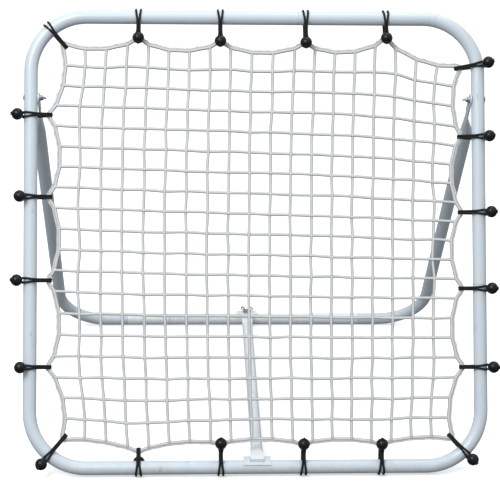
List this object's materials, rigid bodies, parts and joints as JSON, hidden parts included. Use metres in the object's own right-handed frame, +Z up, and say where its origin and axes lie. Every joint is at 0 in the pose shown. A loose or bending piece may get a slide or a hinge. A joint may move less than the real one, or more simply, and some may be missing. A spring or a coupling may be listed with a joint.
{
  "type": "pitch back rebounder",
  "caption": "Square tube frame leaning back on a folding U-shaped leg and bottom strut, with a white net held inside by black elastic ball ties.",
  "frame": {"origin": "centre of the whole object's footprint box, on the ground", "axes": "+X to the right as seen from the front, -Y towards the player, +Z up"},
  "size_m": [1.0065, 0.8257, 0.8943],
  "materials": {
    "frame_coat": "pale bluish white powder coat, semi gloss",
    "leg_coat": "pale bluish white powder coat, semi gloss",
    "strut_coat": "pale bluish white powder coat, semi gloss",
    "zinc": "zinc plated",
    "net_cord": "braided white net cord",
    "border_rope": "braided white rope",
    "elastic": "black braided elastic cord",
    "ball_plastic": "black moulded plastic"
  },
  "bodies": {
    "frame": {"frame_lower_left": "frame_coat", "frame_upper_left": "frame_coat", "frame_lower_right": "frame_coat", "frame_upper_right": "frame_coat", "strut_bracket": "frame_coat", "left_pivot_bolt": "zinc", "left_pivot_washer": "zinc", "right_pivot_bolt": "zinc", "right_pivot_washer": "zinc", "net_mesh": "net_cord", "net_border_rope": "border_rope", "left_pivot_tie_loop": "elastic", "right_pivot_tie_loop": "elastic", "left_tie_loops": "elastic", "right_tie_loops": "elastic", "top_tie_loops": "elastic", "bottom_tie_loops": "elastic", "corner_tie_loops": "elastic", "left_tie_balls": "ball_plastic", "right_tie_balls": "ball_plastic", "top_tie_balls": "ball_plastic", "bottom_tie_balls": "ball_plastic", "corner_tie_balls": "ball_plastic"},
    "leg": {"left_leg_arm": "leg_coat", "right_leg_arm": "leg_coat", "rear_bar": "leg_coat", "rear_bar_nut": "zinc"},
    "strut": {"strut": "strut_coat", "strut_end_plate": "strut_coat", "strut_washer": "zinc"},
    "left_wing_nut": {"left_wing_nut": "zinc"},
    "right_wing_nut": {"right_wing_nut": "zinc"},
    "wing_screw": {"strut_wing_screw": "zinc"}
  },
  "joints": [
    {"name": "leg_fold", "type": "hinge", "parent": "frame", "child": "leg", "pos_m": [0.001, -0.08717, 0.72018], "axis": [1, 0, 0], "range_deg": [-33, 0], "deforming": ["left_pivot_tie_loop", "right_pivot_tie_loop"]},
    {"name": "strut_fold", "type": "hinge", "parent": "frame", "child": "strut", "pos_m": [0.002, -0.38714, 0.03345], "axis": [1, 0, 0], "range_deg": [0, 40]},
    {"name": "left_nut_turn", "type": "hinge", "parent": "frame", "child": "left_wing_nut", "pos_m": [-0.439, -0.08717, 0.72018], "axis": [1, 0, 0], "continuous": true},
    {"name": "right_nut_turn", "type": "hinge", "parent": "frame", "child": "right_wing_nut", "pos_m": [0.441, -0.08717, 0.72018], "axis": [1, 0, 0], "continuous": true},
    {"name": "wing_screw_turn", "type": "hinge", "parent": "strut", "child": "wing_screw", "pos_m": [0.011, 0.39885, 0.0268], "axis": [0.0003, 0.0219, 0.9998], "continuous": true}
  ]
}
